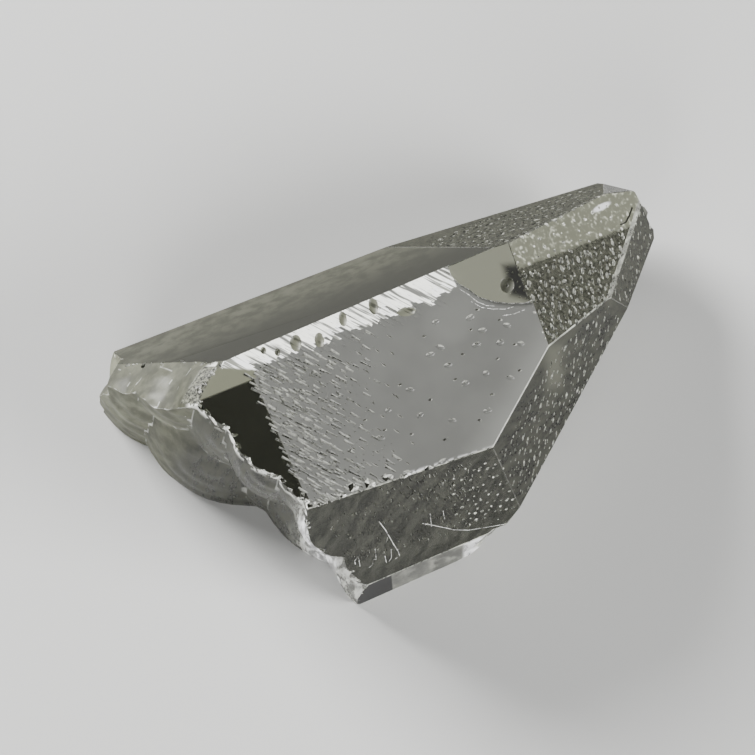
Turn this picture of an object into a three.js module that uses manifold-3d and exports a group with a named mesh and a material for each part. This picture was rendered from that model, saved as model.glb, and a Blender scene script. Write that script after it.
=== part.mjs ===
// Phantom quartz of the ladder-marked kind: one clear crystal, broken from its bed,
// lying on its back prism face.
// Millimetres, +Z up. The long axis runs along +X with the point at +X, and the broken root is at -X.
// The origin is at the middle of the underside of the crystal's box.
import * as THREE from 'three';
import { ConvexGeometry } from 'three/addons/geometries/ConvexGeometry.js';
import { mergeVertices } from 'three/addons/utils/BufferGeometryUtils.js';
import Module from 'manifold-3d';

// Driving dimensions
// Every face is a flat plane: azimuth and elevation of its outward normal in degrees,
// and its distance in mm from a working point on the floor below the crystal's middle.
const FACES = {
  front_prism: { azimuth: 9.4, elevation: 86.0, distance: 24.95 },
  upper_prism: { azimuth: 89.3, elevation: 30.4, distance: 19.8 },
  lower_prism: { azimuth: -91.4, elevation: 27.8, distance: 22.7 },
  side_strip: { azimuth: -90.1, elevation: 0.4, distance: 19.6 },
  under_lower: { azimuth: -85.9, elevation: -29.4, distance: 15.55 },
  resting_prism: { azimuth: 0, elevation: -90, distance: 0 },
  under_upper: { azimuth: 86.7, elevation: -30.1, distance: 10.5 },
  front_point: { azimuth: -3.0, elevation: 54.4, distance: 29.85 },
  lower_point: { azimuth: -49.7, elevation: 25.2, distance: 23.6 },
  steep_shoulder: { azimuth: 83.5, elevation: 27.2, distance: 20.3 },
  small_point: { azimuth: -27.3, elevation: 27.5, distance: 29.65 },
  tip_side: { azimuth: 62, elevation: 28.7, distance: 29.35 },
  tip_edge: { azimuth: 46.2, elevation: 7, distance: 34.4 },
  under_lower_point: { azimuth: -51.9, elevation: -17.5, distance: 14.6 },
  under_upper_point: { azimuth: 47.8, elevation: -23.1, distance: 28.6 },
  under_point: { azimuth: 2.2, elevation: -49.6, distance: 18.3 },
  root: { azimuth: 180, elevation: 0, distance: 36 },
};
const GROWTH_STEP = 0.25; // height of the last growth layer that is left beside the point
// Where that layer ends on the front prism face, from the ridge round to the point
const GROWTH_STEP_EDGE = [[10.2, 11.5], [10.9, 8.8], [10.8, 7.4], [11.2, 6.2], [12.0, 5.2],
  [12.7, 3.9], [14.0, 2.8], [15.6, 1.9], [17.2, 1.3], [18.4, 1.1], [22, 0.4]];
const LADDER_COUNT = 30; // short parallel grooves under the ridge
const LADDER_SLANT = -50; // direction of those grooves across the face, degrees from the long axis
const RAIN_SLANT = -53; // direction of the etched ticks on the front prism face
const PIT_SIDES = 6;
// Oval pits below the ridge: x, y, length, width
const RIDGE_PITS = [[-12.3, 7.3, 0.9, 0.6], [-10.9, 6.6, 1.5, 1.1], [-8.5, 6.9, 1.6, 1.0],
  [-6.2, 5.8, 1.5, 0.9], [-5.4, 5.4, 1.2, 0.8], [1.2, 7.3, 1.5, 0.9], [4.6, 5.3, 1.7, 1.1]];
const LAYER_PIT = [16.3, 4.0, 1.9, 1.4]; // the one pit on the growth layer beside the point
// Single pits on the front prism face
const FRONT_PITS = [[-6.3, -0.7], [-4.8, -4.5], [-3.2, -6.4], [6.4, -4.0], [10.3, 0.7], [13.9, 0.5],
  [14.3, -2.8], [13.6, -5.8], [2.9, -5.1], [2.6, -10.0], [7.1, -9.4], [-7.7, -7.1], [-3.0, -10.2], [8.4, -1.6],
  [0.4, -2.2], [11.8, -3.6], [5.2, 2.0], [9.6, -7.2], [-0.6, -8.0], [12.0, 2.6]];
// Outlines of the etched areas, x and y: ticks thick and thin on the front prism face,
// pits on the point face in front and on the lower prism face near the point
const TICKS_THICK = [[-14.2, 4.6], [-5, 4.4], [-6.5, 0], [-8.5, -5], [-4.5, -10.2], [-13.6, -9.4]];
const TICKS_THIN = [[-5.5, 4.2], [2, 5.0], [0, -2], [-1, -11.2], [-5, -10.4], [-8, -5]];
const POINT_PITTED = [[19.2, 4.8], [18.4, -3.4], [26.6, -0.2], [32.6, 7.4]];
const LOWER_PITTED = [[1.6, -13.4], [7.0, -13.6], [7.7, -17.6], [1.8, -18.4]];
const BLOCK = 34; // thickness of what is broken away
const COLOUR = 0xc9cdc6;

// A repeatable run of numbers between 0 and 1
function numberRun(start) {
  let state = start;
  return () => {
    state = (state * 16807) % 2147483647;
    return state / 2147483647;
  };
}

function direction(azimuth, elevation) {
  const a = THREE.MathUtils.degToRad(azimuth);
  const e = THREE.MathUtils.degToRad(elevation);
  return new THREE.Vector3(Math.cos(e) * Math.cos(a), Math.cos(e) * Math.sin(a), Math.sin(e));
}

function planeOf(name, lift = 0) {
  const { azimuth, elevation, distance } = FACES[name];
  return { normal: direction(azimuth, elevation), distance: distance + lift };
}

// The corner where three planes meet, or null where two of them are parallel
function meeting(a, b, c) {
  const cross = new THREE.Vector3().crossVectors(b.normal, c.normal);
  const spread = a.normal.dot(cross);
  if (Math.abs(spread) < 1e-6) return null;
  return cross.multiplyScalar(a.distance)
    .addScaledVector(new THREE.Vector3().crossVectors(c.normal, a.normal), b.distance)
    .addScaledVector(new THREE.Vector3().crossVectors(a.normal, b.normal), c.distance)
    .divideScalar(spread);
}

// The closed flat-faced body that lies behind all the planes
function facetedBody(planes) {
  const corners = [];
  for (let i = 0; i < planes.length; i++) {
    for (let j = i + 1; j < planes.length; j++) {
      for (let k = j + 1; k < planes.length; k++) {
        const corner = meeting(planes[i], planes[j], planes[k]);
        if (corner && planes.every((p) => p.normal.dot(corner) < p.distance + 1e-4)) corners.push(corner);
      }
    }
  }
  return new ConvexGeometry(corners);
}

// A closed geometry as a solid that can be cut and joined
function solidOf(wasm, geometry) {
  const bare = geometry.clone();
  bare.deleteAttribute('normal');
  bare.deleteAttribute('uv');
  const merged = mergeVertices(bare, 1e-5);
  return new wasm.Manifold(new wasm.Mesh({
    numProp: 3,
    vertProperties: new Float32Array(merged.attributes.position.array),
    triVerts: new Uint32Array(merged.index.array),
  }));
}

// Turns a geometry's +Y to the given direction, spins it about that direction and moves it
function placed(geometry, at, facing, spin = 0, stretch = [1, 1, 1]) {
  const up = new THREE.Vector3(0, 1, 0);
  const turn = new THREE.Quaternion().setFromUnitVectors(up, facing);
  turn.multiply(new THREE.Quaternion().setFromAxisAngle(up, THREE.MathUtils.degToRad(spin)));
  const matrix = new THREE.Matrix4().compose(new THREE.Vector3(...at), turn, new THREE.Vector3(...stretch));
  return geometry.clone().applyMatrix4(matrix);
}

// The point of a face above or below a place x, y
function onFace(name, x, y) {
  const { normal, distance } = planeOf(name);
  return [x, y, (distance - normal.x * x - normal.y * y) / normal.z];
}

// A block whose underside is a broken quartz surface: rounded lobes that meet in sharp creases, each with
// faint ripples round the place where the break began. It lies against the crystal with at on its
// reference plane, facing its outward azimuth and elevation, u level along the break and v up it.
function breakBlock({ at, facing, across, up, ground, lobes, cell = 1.25, ripple = 0.07 }) {
  const [u0, u1] = across;
  const [v0, v1] = up;
  const columns = Math.round((u1 - u0) / cell);
  const rows = Math.round((v1 - v0) / cell);
  const block = new THREE.BoxGeometry(u1 - u0, BLOCK, v1 - v0, columns, 1, rows);
  block.translate((u0 + u1) / 2, BLOCK / 2, -(v0 + v1) / 2);
  const position = block.attributes.position;
  for (let i = 0; i < position.count; i++) {
    if (position.getY(i) > 1) continue;
    const u = position.getX(i);
    const v = -position.getZ(i);
    let height = ground;
    for (const lobe of lobes) {
      const fall = ((u - lobe.u) / lobe.wide) ** 2 + ((v - lobe.v) / lobe.tall) ** 2;
      const away = Math.hypot(u - lobe.u - 0.7 * lobe.wide, v - lobe.v - 0.6 * lobe.tall);
      const wave = ripple * Math.sin((2 * Math.PI * away) / (0.55 * lobe.wide));
      height = Math.max(height, lobe.rise - 1.5 * fall + wave);
    }
    position.setY(i, height);
  }
  const out = direction(...facing);
  const level = direction(facing[0] + 90, 0);
  const frame = new THREE.Matrix4().makeBasis(level, out, new THREE.Vector3().crossVectors(level, out));
  return block.applyMatrix4(frame.setPosition(...at));
}

// The broken root: a leaning wall of large lobes, a rough shoulder above it and a narrow end
const ROOT_WALL = {
  at: [-31.6, 12.5, 0], facing: [-148.7, 5.5], across: [-16, 46], up: [-6, 36], ground: -2.4,
  lobes: [
    { u: 2.4, v: 8, wide: 5.6, tall: 13, rise: 0.3 }, { u: 7.6, v: 21, wide: 5, tall: 9, rise: 0.1 },
    { u: 11.6, v: 5, wide: 6.0, tall: 11, rise: 1.2 }, { u: 15.0, v: 19.5, wide: 5.2, tall: 8, rise: -0.3 },
    { u: 20.6, v: 7, wide: 4.2, tall: 7, rise: -1.2 }, { u: 21.4, v: 21, wide: 4.4, tall: 8, rise: 0.8 },
    { u: 27.6, v: 7, wide: 6.4, tall: 11, rise: -0.55 }, { u: 27.4, v: 23, wide: 4.4, tall: 7, rise: 0.5 },
    { u: 31.4, v: 20.5, wide: 3.6, tall: 6.5, rise: 2.2 }, { u: 35.0, v: 12, wide: 4, tall: 8, rise: 1.1 },
    { u: 37.4, v: 5, wide: 4.4, tall: 8, rise: 0.9 },
  ],
};
const ROOT_SHOULDER = {
  at: [-20.2, 6.3, 26.3], facing: [125, 44.5], across: [-14, 18], up: [-22, 10], ground: -0.6,
  lobes: [
    { u: 0, v: -1.5, wide: 5, tall: 4.5, rise: 0.15 }, { u: 7, v: -3, wide: 5, tall: 4, rise: 0.1 },
    { u: 3, v: -9, wide: 5.5, tall: 4.5, rise: 0.12 }, { u: 10, v: -10, wide: 4.5, tall: 4.5, rise: 0.1 },
    { u: -6, v: -7, wide: 5, tall: 5, rise: 0.05 }, { u: 5, v: -16, wide: 6, tall: 5, rise: 0 },
  ],
};
const ROOT_END = {
  at: [-30.0, 15.6, 8], facing: [141, 9], across: [-14, 12], up: [-12, 22], ground: -0.9,
  lobes: [
    { u: -4, v: -2, wide: 5, tall: 7, rise: 0.15 }, { u: 3, v: 0, wide: 4.5, tall: 6, rise: 0.2 },
    { u: 0, v: 9, wide: 6, tall: 6, rise: 0 },
  ],
};
// Chips out of the lower corner beside the point and out of the tip
const CORNER_CHIP = {
  at: [4.2, -19.5, 5.2], facing: [-74, -6], across: [-7, 8], up: [-6, 7], ground: -0.8, cell: 0.9, ripple: 0.05,
  lobes: [
    { u: -2.2, v: 0, wide: 3.2, tall: 3.4, rise: -0.1 }, { u: 2.6, v: 1, wide: 3, tall: 3.4, rise: 0.05 },
    { u: 0.6, v: -4, wide: 3.4, tall: 2.8, rise: -0.15 },
  ],
};
const TIP_CHIP = {
  at: [37.2, 8.4, 7.4], facing: [4, 4], across: [-4, 4.5], up: [-5, 5], ground: -0.6, cell: 0.7, ripple: 0.04,
  lobes: [
    { u: -1.4, v: -0.6, wide: 1.8, tall: 2.4, rise: -0.1 }, { u: 1.3, v: 0.6, wide: 1.7, tall: 2.2, rise: 0 },
  ],
};

// Everything on the front prism face above the main growth layer, apart from the layer beside the point
function growthLayerCut() {
  const { normal } = planeOf('front_prism');
  const outline = [[-45, -30], [45, -30], [45, 0.2], ...GROWTH_STEP_EDGE.slice().reverse(), [-45, 11.5]];
  const shape = new THREE.Shape(outline.map(([x, y]) => new THREE.Vector2(x, y)));
  const slab = new THREE.ExtrudeGeometry(shape, { depth: 4, bevelEnabled: false, curveSegments: 1 });
  const turn = new THREE.Quaternion().setFromUnitVectors(new THREE.Vector3(0, 0, 1), normal);
  return slab.applyQuaternion(turn).translate(...onFace('front_prism', 0, 0));
}

// A shallow etch pit on a face, cone-shaped with flat sides
function pit(face, x, y, length, width, depth, slant) {
  const cone = new THREE.ConeGeometry(0.55, 2 * depth, PIT_SIDES).rotateX(Math.PI);
  return placed(cone, onFace(face, x, y), planeOf(face).normal, slant, [length, 1, width]);
}

// A short V-shaped groove on a face, sharp at both ends
function groove(face, x, y, length, width, depth, slant) {
  const blade = new THREE.OctahedronGeometry(1).translate(0, 0.25, 0);
  return placed(blade, onFace(face, x, y), planeOf(face).normal, slant, [length / 2, depth, width / 2]);
}

function insideOutline(outline, x, y) {
  let inside = false;
  for (let i = 0, j = outline.length - 1; i < outline.length; j = i++) {
    const [xi, yi] = outline[i];
    const [xj, yj] = outline[j];
    if ((yi > y) !== (yj > y) && x < ((xj - xi) * (y - yi)) / (yj - yi) + xi) inside = !inside;
  }
  return inside;
}

// Places strewn inside an outline, none nearer to another than the gap
function strewn(outline, count, gap, next) {
  const places = [];
  const xs = outline.map(([x]) => x);
  const ys = outline.map(([, y]) => y);
  for (let tries = 0; tries < 60 * count && places.length < count; tries++) {
    const x = Math.min(...xs) + (Math.max(...xs) - Math.min(...xs)) * next();
    const y = Math.min(...ys) + (Math.max(...ys) - Math.min(...ys)) * next();
    if (!insideOutline(outline, x, y)) continue;
    if (places.every(([px, py]) => Math.hypot(px - x, py - y) > gap)) places.push([x, y]);
  }
  return places;
}

// The ladder of grooves that starts at the ridge and runs down the front prism face
function ladderGrooves() {
  const next = numberRun(71);
  const grooves = [];
  for (let i = 0; i < LADDER_COUNT; i++) {
    const length = 3.4 + 2.2 * next();
    const away = length / 2 + 0.2 + 0.5 * next();
    const x = -15.4 + (23 * i) / (LADDER_COUNT - 1) + 0.64 * away;
    const y = 8.0 + 0.03 * x - 0.77 * away;
    const slant = LADDER_SLANT + 4 * (next() - 0.5);
    grooves.push(groove('front_prism', x, y, length, 0.4 + 0.25 * next(), 0.16, slant));
  }
  return grooves;
}

// Rungs across the two prism faces that look down and back, level with each other
function ladderRungs() {
  const next = numberRun(229);
  const rungs = [];
  for (const [face, y, span] of [['under_upper', 15.9, 7.5], ['under_lower', -17.4, 6]]) {
    for (let x = -20; x < 22; x += 2.2 + 2.6 * next()) {
      const length = span * (0.6 + 0.5 * next());
      rungs.push(groove(face, x, y + 0.04 * (y < 0 ? x : 0), length, 0.5 + 0.3 * next(), 0.2, 90));
    }
  }
  return rungs;
}

// The larger of the etched ticks, thick where the clear window ends and thinning towards the point
function rainTicks() {
  const next = numberRun(1913);
  const thick = strewn(TICKS_THICK, 52, 0.9, next);
  const thin = strewn(TICKS_THIN, 34, 1.5, next);
  return [...thick, ...thin].map(([x, y]) =>
    groove('front_prism', x, y, 0.8 + 0.6 * next(), 0.34, 0.13, RAIN_SLANT + 12 * (next() - 0.5)));
}

// Oval pits below the ridge, single pits over the front prism face and the point faces beside it
function facePits() {
  const next = numberRun(407);
  return [
    pit('front_prism', ...LAYER_PIT, 0.4, 62),
    ...RIDGE_PITS.map(([x, y, long, wide]) => pit('front_prism', x, y, long, wide, 0.2, 62)),
    ...FRONT_PITS.map(([x, y]) => pit('front_prism', x, y, 0.95, 0.6, 0.16, -15 + 30 * next())),
    ...strewn(POINT_PITTED, 44, 1.0, next)
      .map(([x, y]) => pit('front_point', x, y, 0.75, 0.6, 0.16, 90 * next())),
    ...strewn(LOWER_PITTED, 26, 0.9, next)
      .map(([x, y]) => pit('lower_prism', x, y, 0.7, 0.5, 0.15, 90 * next())),
  ];
}

async function quartzCrystal() {
  const wasm = await Module();
  wasm.setup();
  const planes = Object.keys(FACES).map((name) => planeOf(name, name === 'front_prism' ? GROWTH_STEP : 0));
  let crystal = solidOf(wasm, facetedBody(planes)).subtract(solidOf(wasm, growthLayerCut()));
  const cuts = [
    ...[ROOT_WALL, ROOT_SHOULDER, ROOT_END, CORNER_CHIP, TIP_CHIP].map(breakBlock),
    ...ladderGrooves(), ...ladderRungs(), ...rainTicks(), ...facePits(),
  ];
  for (const cut of cuts) crystal = crystal.subtract(solidOf(wasm, cut));
  const { vertProperties, triVerts } = crystal.getMesh();
  const geometry = new THREE.BufferGeometry();
  geometry.setAttribute('position', new THREE.BufferAttribute(new Float32Array(vertProperties), 3));
  geometry.setIndex(new THREE.BufferAttribute(new Uint32Array(triVerts), 1));
  geometry.computeBoundingBox();
  const { min, max } = geometry.boundingBox;
  geometry.translate(-(min.x + max.x) / 2, -(min.y + max.y) / 2, -min.z);
  geometry.computeVertexNormals();
  const material = new THREE.MeshStandardMaterial({ color: COLOUR, roughness: 0.15, flatShading: true });
  const mesh = new THREE.Mesh(geometry, material);
  mesh.name = 'quartz_crystal';
  return mesh;
}

const part = new THREE.Group();
part.add(await quartzCrystal());
export default part;
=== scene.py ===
# A clear quartz crystal with etched faces and a broken root, lying on a pale floor.
import functools
import math
import random

import bpy
from mathutils import Matrix, Vector, noise


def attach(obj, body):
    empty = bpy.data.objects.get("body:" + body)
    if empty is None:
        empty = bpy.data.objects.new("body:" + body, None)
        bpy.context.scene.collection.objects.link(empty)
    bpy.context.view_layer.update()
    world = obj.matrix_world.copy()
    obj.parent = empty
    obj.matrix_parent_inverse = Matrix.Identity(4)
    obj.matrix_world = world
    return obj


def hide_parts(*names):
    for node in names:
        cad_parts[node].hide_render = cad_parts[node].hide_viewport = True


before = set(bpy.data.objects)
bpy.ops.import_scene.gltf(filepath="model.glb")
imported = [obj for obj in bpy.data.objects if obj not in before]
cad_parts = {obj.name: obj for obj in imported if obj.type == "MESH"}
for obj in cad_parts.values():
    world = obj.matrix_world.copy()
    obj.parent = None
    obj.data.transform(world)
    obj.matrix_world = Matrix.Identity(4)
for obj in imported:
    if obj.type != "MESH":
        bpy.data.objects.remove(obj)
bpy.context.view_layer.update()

MM = 0.001

# Outward directions of the flat faces: azimuth and elevation in degrees
FACES = {
    "front": (9.4, 86.0),
    "upper": (89.3, 30.4),
    "lower": (-91.4, 27.8),
    "side_strip": (-90.1, 0.4),
    "under_lower": (-85.9, -29.4),
    "resting": (0, -90),
    "under_upper": (86.7, -30.1),
    "point": (-3.0, 54.4),
    "lower_point": (-49.7, 25.2),
    "shoulder": (83.5, 27.2),
    "small_point": (-27.3, 27.5),
    "tip_side": (62, 28.7),
    "tip_edge": (46.2, 7),
    "under_lower_point": (-51.9, -17.5),
    "under_point": (2.2, -49.6),
}
EDGE_WIDTH = 0.11  # how wide the worn edges between the faces are, in millimetres
# Edges whose worn strip is wider and painted brighter, partly a painted highlight: the two faces, and the
# strip's width in millimetres
BRIGHT_EDGES = {
    ("point", "small_point"): 0.7,
    ("point", "lower_point"): 0.2,
    ("front", "lower_point"): 0.15,
    ("lower", "side_strip"): 0.26,
    ("front", "lower"): 0.16,
}

# The photo's camera: where it stands, how far off, and the width that it sees
CAMERA_AZIMUTH = -109.4
CAMERA_ELEVATION = 76.74
CAMERA_ROLL = -3.63
CAMERA_DISTANCE = 420 * MM
SEEN_WIDTH = 86.8 * MM
AIM = Vector((-2.74, 0.54, 17.0)) * MM
AIM_OFF_CENTRE = (12.5 / 755, -7.5 / 755)  # where the aim falls right of and above the picture's middle

# Places on the crystal, in millimetres of the frame, x and y
VEIL = [(-17.2, 9.2), (-17.3, 5.6), (-17.1, -9.3), (-16.7, -11.4), (5.2, -13.2), (15.6, -4.8), (15.6, 3.2),
        (8.8, 9.6)]
LADDER_RIDGE = ((-17.6, 8.4), (7.6, 9.2))  # the stretch of the ridge that the white ladder hangs from
LADDER_END = ((-17.4, 6.5), (8.2, 6.6))  # the uneven line where it ends
LADDER_SIDES = ((-21.6, 8.6, -16.9, 6.2), (8.4, 9.4, 8.0, 5.4))
CREAM_BAND = [(-24.6, 5.2), (-17.0, 5.2), (-16.6, 6.6), (-21.2, 8.6)]
SPECKLED_STRIP = [(-25.9, 6.2), (-24.2, 4.9), (-20.6, 8.2), (-21.9, 9.0)]
RAIN = [  # outline of a field of ticks, and their number
    ([(-17.7, 5.8), (-13.4, 6.2), (-13.8, 0.0), (-14.4, -6.0), (-12.8, -11.2), (-16.9, -11.4),
      (-17.5, -9.0)], 75),
    ([(-17.5, 5.6), (-12.4, 6.0), (-12.8, -1.0), (-13.2, -6.0), (-11.4, -11.2), (-16.6, -11.4),
      (-17.3, -9.0)], 75),
    ([(-17.0, 5.6), (-10.6, 5.8), (-11.0, 0.0), (-12.2, -4.0), (-10.6, -8.0), (-8.4, -11.4),
      (-16.0, -11.4)], 70),
    ([(-15.9, 5.9), (-7.4, 5.6), (-7.0, 2.8), (-9.4, -1.0), (-10.2, -7.0), (-6.0, -11.4),
      (-14.0, -11.4)], 60),
    ([(-12.5, 5.4), (-2.5, 5.4), (-4.0, 0.5), (-7.0, -5.0), (-4.5, -9.5), (-10.4, -9.6),
      (-11.0, -4.0)], 34),
]
CRESCENTS = [(-6.8, -6.5), (-4.7, -3.9), (2.2, 0.3), (3.6, 0.7), (3.6, -1.6), (4.6, -4.3), (7.5, -0.6),
             (10.1, -1.4), (7.2, -4.1), (9.5, -5.6), (8.1, 2.6), (8.8, 0.7), (-5.5, -11.4), (-1.3, -11.7),
             (-1.5, -2.6), (-1.6, -5.8), (1.5, -7.7), (12.2, -2.4), (11.6, 0.2), (5.6, -8.2), (4.3, 3.6)]
OVALS = [  # smooth scales in the ladder: x, y, length, width, spin
    (-15.0, 7.9, 0.9, 0.7, 75), (-13.6, 7.1, 1.0, 0.7, 75), (-11.3, 7.3, 2.1, 1.4, 70),
    (-8.7, 6.6, 1.9, 1.2, 75), (-5.3, 7.9, 1.9, 1.0, 75), (-1.5, 8.0, 2.2, 1.2, 78),
    (1.7, 6.0, 2.3, 1.2, -15),
]
LAYER_HOLLOW = (13.5, 4.5, 2.3, 1.9, 62)  # the one on the growth layer beside the point
LAYER_SPOTTED = [(13.4, 3.2), (15.4, 1.6), (16.2, 6.2), (14.0, 6.8)]
# The white of these ledges is a painted highlight
LAYER_LINES = [  # fine ledges that follow the growth layer's edge
    [(8.3, 6.2), (9.0, 5.2), (9.6, 4.0), (10.4, 3.2), (11.2, 2.8)],
    [(8.9, 4.4), (9.8, 3.2), (10.8, 2.6), (12.2, 2.0), (13.2, 1.9)],
    [(11.6, 1.4), (12.9, 1.1), (14.2, 1.1)],
]
POINT_CREAM_LINE = ((15.7, 5.8), (30.2, 7.9))  # where the cream upper part of the point face begins
POINT_DARK = [(15.4, 4.9), (14.6, -3.6), (24.0, -0.4), (29.9, 7.1), (22.0, 5.9)]
POINT_CREAM = [(15.6, 7.6), (15.8, 5.6), (22.0, 6.4), (30.4, 8.0), (30.6, 11.0), (27.6, 11.4)]
POINT_CRACK = [(32.2, 10.2), (31.3, 9.2), (30.6, 8.6), (29.8, 8.4)]
SMALL_POINT = [(26.9, -0.4), (33.6, 6.9), (33.9, 7.9), (33.2, 10.1), (25.2, 0.4)]
LOWER_POINT = [(15.4, -4.6), (5.2, -13.0), (6.0, -17.6), (25.2, -2.2), (24.2, -0.7)]
LOWER_POINT_SMOOTH = [(13.2, -7.8), (15.3, -7.6), (17.0, -3.6), (14.6, -3.8)]
SHOULDER = [(14.6, 8.2), (8.0, 15.0), (13.0, 16.2), (29.6, 14.8), (28.6, 12.4), (16.0, 8.9)]
LOWER_DOTS = [(-1.0, -13.4), (5.2, -13.4), (5.9, -17.2), (3.4, -18.8), (-1.9, -17.2)]
LOWER_FLECKS = [(-9.5, -11.6), (1.5, -12.8), (-0.5, -15.4), (-6.5, -13.6)]
LOWER_STROKES = [(-15.6, -12.4), (2.0, -13.6), (1.0, -18.0), (-15.8, -16.6)]
LOWER_LINES = [  # scratches on the lower face
    [(-10.3, -14.3), (-9.9, -15.2), (-9.6, -16.4), (-9.3, -17.3), (-9.3, -17.7), (-9.9, -17.8)],
    [(-14.4, -16.9), (-14.4, -16.6), (-13.8, -16.3), (-14.0, -17.2)],
    [(-13.1, -17.6), (-12.6, -17.5), (-12.3, -17.1), (-12.0, -17.2), (-11.7, -16.3)],
    [(-11.0, -17.8), (-10.9, -17.2)], [(-10.7, -17.8), (-10.3, -17.6), (-10.0, -16.9)],
    [(-5.7, -15.9), (-4.6, -16.4), (-2.4, -17.5), (-0.9, -18.0), (1.2, -18.4), (3.5, -18.8)],
    [(-3.0, -15.6), (-3.1, -16.3)], [(-4.5, -15.4), (-4.8, -16.5)],
]
EDGE_CHIPS = [  # white chips out of the front face's lower edge: x, y, length
    (-16.3, -10.8, 1.2), (-14.7, -11.1, 1.0), (-13.2, -11.0, 1.1), (-11.7, -10.6, 1.6), (-9.9, -10.9, 1.9),
    (-7.7, -11.0, 1.7), (-6.1, -11.7, 1.3), (-4.6, -12.0, 0.9), (-3.1, -12.0, 1.4), (-0.6, -12.6, 0.7),
    (1.6, -12.9, 0.9), (3.6, -13.1, 0.7)]

# Round dimples strewn over the faces: face, outline, number, gap, least and greatest length, depth,
# direction, narrowness, and where it isn't the usual one, the kind of surface of the half that is usually
# painted in shade
DIMPLES = [
    ("front", LAYER_SPOTTED, 22, 0.5, (0.2, 0.45), 0.5, 0, 1.0, "etched"),
    ("point", POINT_DARK, 120, 0.95, (0.65, 1.0), 0.55, 75, 0.66),
    ("point", POINT_DARK, 110, 0.7, (0.3, 0.6), 0.4, 75, 0.7),
    ("point", POINT_CREAM, 40, 0.95, (0.3, 0.6), 0.2, 0, 1.0, "etched"),
    ("small_point", SMALL_POINT, 60, 1.0, (0.5, 0.95), 0.6, 60, 0.6),
    ("small_point", SMALL_POINT, 80, 0.7, (0.25, 0.65), 0.5, 60, 0.6),
    ("lower_point", LOWER_POINT, 170, 0.95, (0.5, 0.95), 0.6, 55, 0.5),
    ("lower_point", LOWER_POINT, 200, 0.6, (0.2, 0.55), 0.4, 55, 0.6),
    ("shoulder", SHOULDER, 260, 1.15, (0.6, 1.1), 1.0, 190, 0.62),
    ("shoulder", SHOULDER, 400, 0.75, (0.35, 0.72), 0.9, 190, 0.62),
    ("lower", LOWER_DOTS, 70, 0.6, (0.2, 0.5), 0.5, 0, 1.0),
    ("lower", LOWER_FLECKS, 150, 1.0, (0.55, 0.95), 0.4, 100, 0.3),
]
LOWER_DASHES = ("lower", LOWER_STROKES, 90, 1.0, (0.2, 0.7), 0.3, 80, 0.3)
SMALL_TICKS = [(2, 170), (1, 120), (4, 90)]  # which field of the rain they fill, and their number

# Chips along the edges between flat faces and the broken root: the faces, and the largest size
ALL_SIDES = ("front", "upper", "lower", "side_strip")
RIM_CHIPS = [(ALL_SIDES, 2.0), (ALL_SIDES, 1.3), (ALL_SIDES, 0.8), (("front",), 2.4), (("front",), 1.7),
             (("front",), 1.1)]
RIM_GAP = 1.45  # how far apart they are, as a multiple of that size
LONGEST_RIM_EDGE = 3

# The broken surfaces: place on the reference plane, outward azimuth and elevation, reach across and up,
# ground height, then the lobes: place across and up, half width, half height, rise
BREAKS = {
    "root_wall": ((-34.34, 13.04, 0), (-148.7, 5.5), (-16, 46), (-6, 36), -2.4, [
        (2.4, 8, 5.6, 13, 0.3), (7.6, 21, 5, 9, 0.1), (11.6, 5, 6.0, 11, 1.2), (15.0, 19.5, 5.2, 8, -0.3),
        (20.6, 7, 4.2, 7, -1.2), (21.4, 21, 4.4, 8, 0.8), (27.6, 7, 6.4, 11, -0.55), (27.4, 23, 4.4, 7, 0.5),
        (31.4, 20.5, 3.6, 6.5, 2.2), (35.0, 12, 4, 8, 1.1), (37.4, 5, 4.4, 8, 0.9)]),
    "root_shoulder": ((-22.94, 6.84, 26.3), (125, 44.5), (-14, 18), (-22, 10), -0.6, [
        (0, -1.5, 5, 4.5, 0.15), (7, -3, 5, 4, 0.1), (3, -9, 5.5, 4.5, 0.12), (10, -10, 4.5, 4.5, 0.1),
        (-6, -7, 5, 5, 0.05), (5, -16, 6, 5, 0)]),
    "root_end": ((-32.74, 16.14, 8), (141, 9), (-14, 12), (-12, 22), -0.9, [
        (-4, -2, 5, 7, 0.15), (3, 0, 4.5, 6, 0.2), (0, 9, 6, 6, 0)]),
}

# What tells the faces apart that no cut made, in degrees and millimetres
FACE_TILT = 1.5  # how far a flat face of the mesh may lean from the direction in the table
FACE_BAND = 0.3  # how far off the plane it may lie
LAYER_RISE = 0.12  # the growth layer lies at least so far above the front face
STEP_FROM_X = 8.3  # its step lies from here on
PIT_DEPTH, PIT_RISE = 0.45, 0.1  # how far the pits in a face reach below and above its plane
SMOOTH_LEFT_OF, SMOOTH_ABOVE = 8.5, 4.5  # the upper left part of the front face has no ticks
ROOT_UP_TO_X, TIP_FROM_X, CORNER_UP_TO_Y = -14, 26, -14  # the broken ends lie beyond these

SLANT = -51  # direction of the grooves and the etched ticks across the front face, in degrees

REFRACTION = 1.544
ABSORPTION = (0.80, 0.806, 0.795, 1)
ABSORPTION_DENSITY = 90.0
WARM = (0.985, 1.0, 0.78, 1)  # the tint of a fully warm finish
RED_LOSS, BLUE_LOSS = 0.015, 0.2  # how much of each a warm grey lacks
FLOOR_GREY = (0.50, 0.50, 0.49, 1)

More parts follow.
